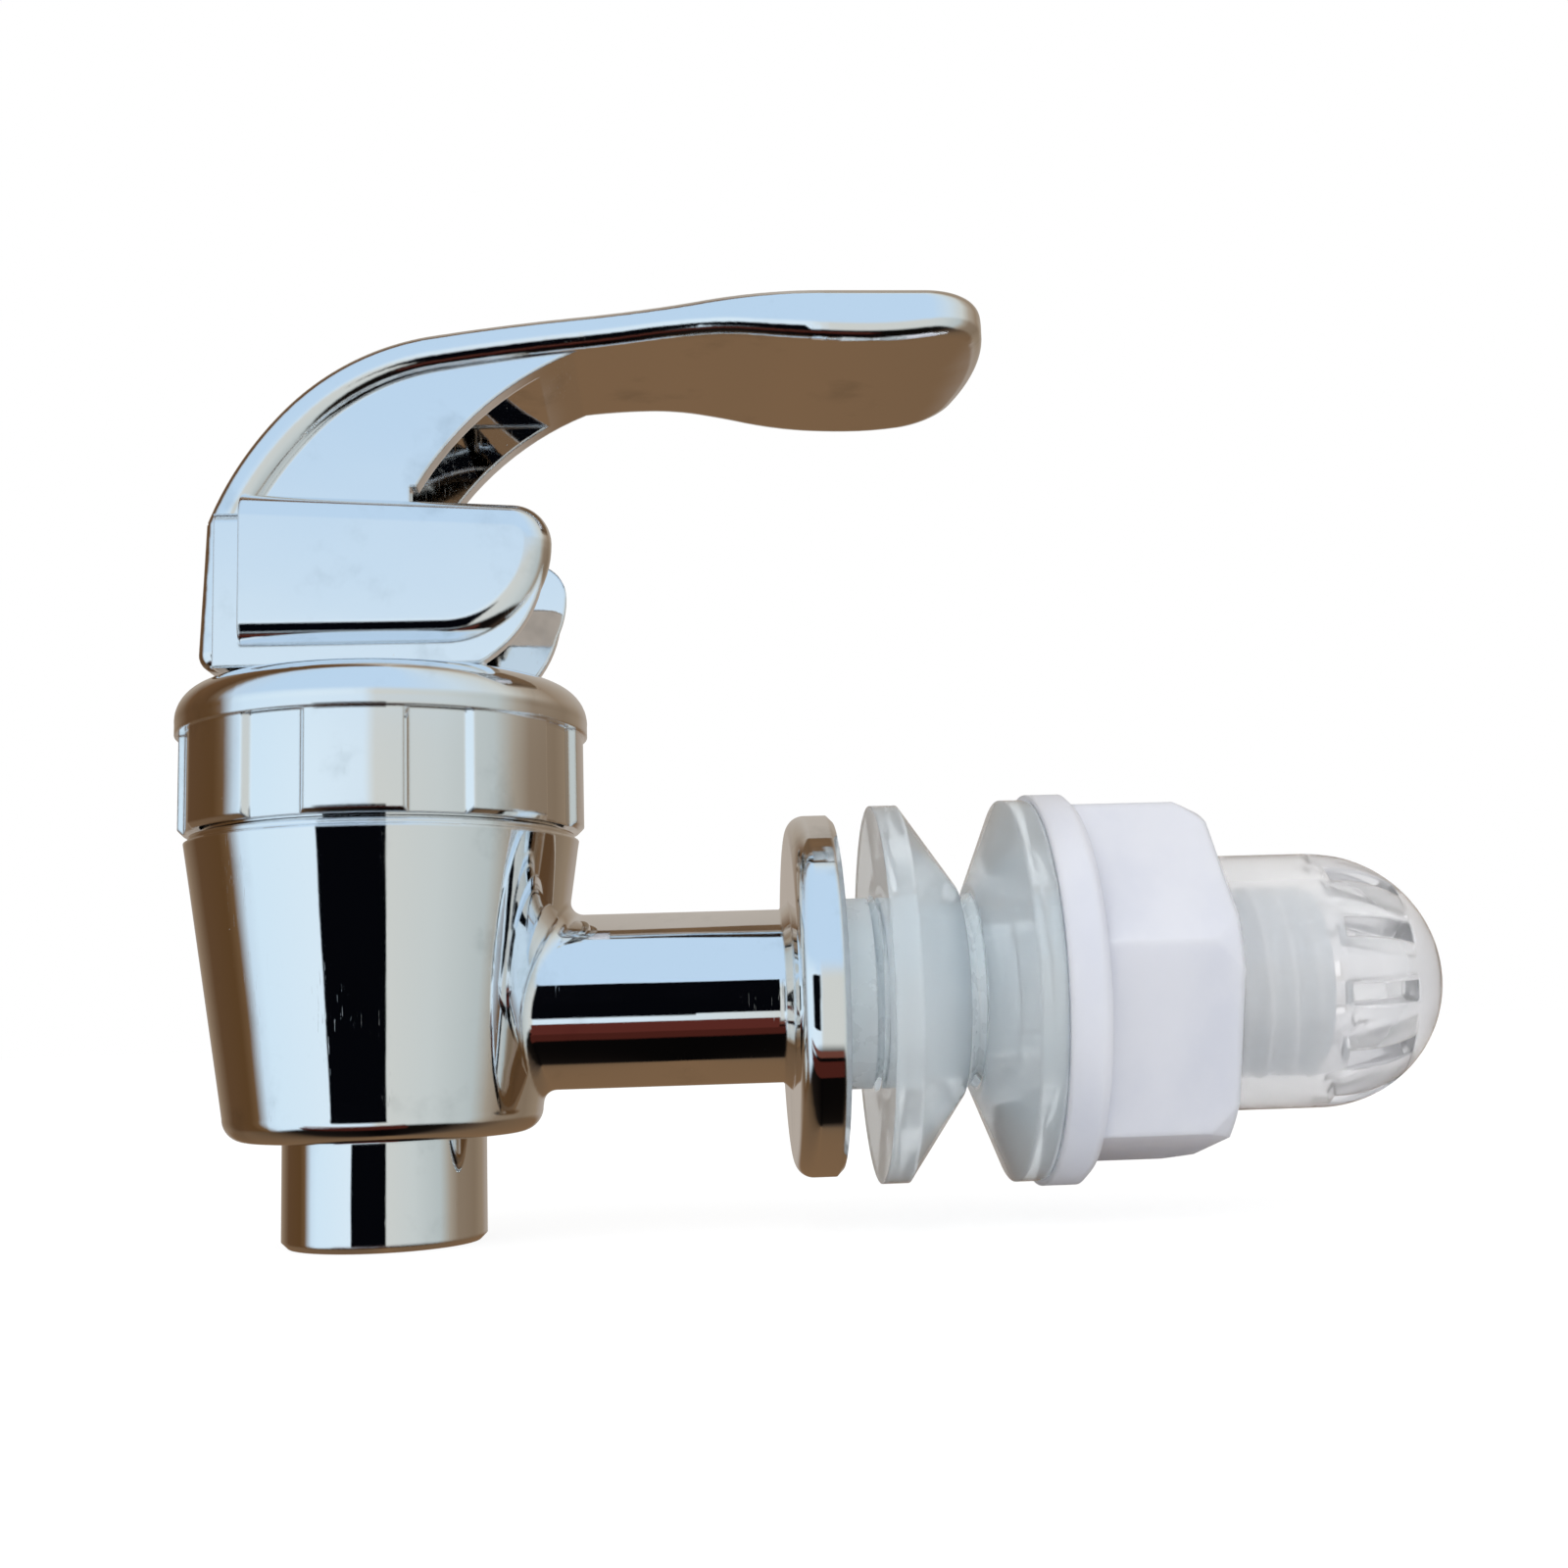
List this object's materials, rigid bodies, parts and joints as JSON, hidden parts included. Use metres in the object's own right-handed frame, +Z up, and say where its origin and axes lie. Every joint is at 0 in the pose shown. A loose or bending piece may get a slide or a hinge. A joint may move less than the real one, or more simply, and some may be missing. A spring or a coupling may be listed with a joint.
{
  "type": "beverage dispenser tap",
  "caption": "Chrome lever tap with a barrel, ribbed collar nut and spout, on a translucent threaded shank with cone washers, flanged nut and slotted strainer cap.",
  "frame": {"origin": "on the shank axis, at the back face of the flange that meets the vessel", "axes": "+X along the shank into the vessel, +Z up, spout pointing down -Z"},
  "size_m": [0.1042, 0.0334, 0.0753],
  "materials": {
    "chrome_plate": "bright chrome plate on moulded plastic",
    "shank_plastic": "translucent blue-white moulded plastic",
    "nut_plastic": "milky moulded plastic",
    "strainer_plastic": "translucent grey-white moulded plastic",
    "washer_silicone": "translucent matt silicone",
    "guide_plastic": "white moulded plastic",
    "stem_plastic": "natural moulded plastic",
    "cup_silicone": "matt silicone",
    "spring_steel": "drawn stainless wire",
    "pin_steel": "turned stainless steel"
  },
  "bodies": {
    "housing": {"valve_body": "chrome_plate", "shank": "shank_plastic", "shank_seal": "cup_silicone", "body_gasket": "cup_silicone"},
    "guide": {"bonnet_guide": "guide_plastic", "return_spring": "spring_steel", "stem_seal": "cup_silicone"},
    "collar": {"collar_nut": "chrome_plate"},
    "seat": {"seat_cup": "cup_silicone"},
    "stem": {"valve_stem": "stem_plastic", "pivot_pin": "pin_steel"},
    "handle": {"lever": "chrome_plate"},
    "outer_washer_body": {"outer_washer": "washer_silicone"},
    "inner_washer_body": {"inner_washer": "washer_silicone"},
    "nut": {"shank_nut": "nut_plastic"},
    "strainer": {"strainer_cap": "strainer_plastic"}
  },
  "joints": [
    {"name": "collar_rise", "type": "slide", "parent": "housing", "child": "guide", "axis": [0, 0, 1], "range_m": [0, 0.006]},
    {"name": "collar_turn", "type": "hinge", "parent": "guide", "child": "collar", "pos_m": [-0.03685, 0, 0.02], "axis": [0, 0, 1], "range_deg": [0, 720]},
    {"name": "stem_lift", "type": "slide", "parent": "guide", "child": "seat", "axis": [0, 0, 1], "range_m": [0, 0.0034], "deforming": ["return_spring"]},
    {"name": "lever_swivel", "type": "hinge", "parent": "seat", "child": "stem", "pos_m": [-0.03685, 0, 0.02], "axis": [0, 0, 1], "continuous": true},
    {"name": "lever_tilt", "type": "hinge", "parent": "stem", "child": "handle", "pos_m": [-0.03685, 0, 0.033], "axis": [0, 1, 0], "range_deg": [0, 22], "stiffness_Nm_per_rad": 0.11, "springref_deg": -34.38},
    {"name": "outer_washer_slide", "type": "slide", "parent": "housing", "child": "outer_washer_body", "axis": [1, 0, 0], "range_m": [-0.0029, 0]},
    {"name": "inner_washer_travel", "type": "slide", "parent": "housing", "child": "inner_washer_body", "axis": [1, 0, 0], "range_m": [-0.0009, 0.00012]},
    {"name": "nut_turn", "type": "hinge", "parent": "inner_washer_body", "child": "nut", "pos_m": [0.025, 0, 0], "axis": [1, 0, 0], "range_deg": [-162, 21.6]},
    {"name": "strainer_unscrew", "type": "slide", "parent": "housing", "child": "strainer", "axis": [1, 0, 0], "range_m": [0, 0.012]}
  ],
  "couplings": [
    {"joint": "collar_turn", "follows": "collar_rise", "rad_per_m": 2094.4},
    {"joint": "stem_lift", "follows": "lever_tilt", "m_per_rad": 0.0086},
    {"joint": "nut_turn", "follows": "inner_washer_travel", "rad_per_m": 3141.6}
  ]
}
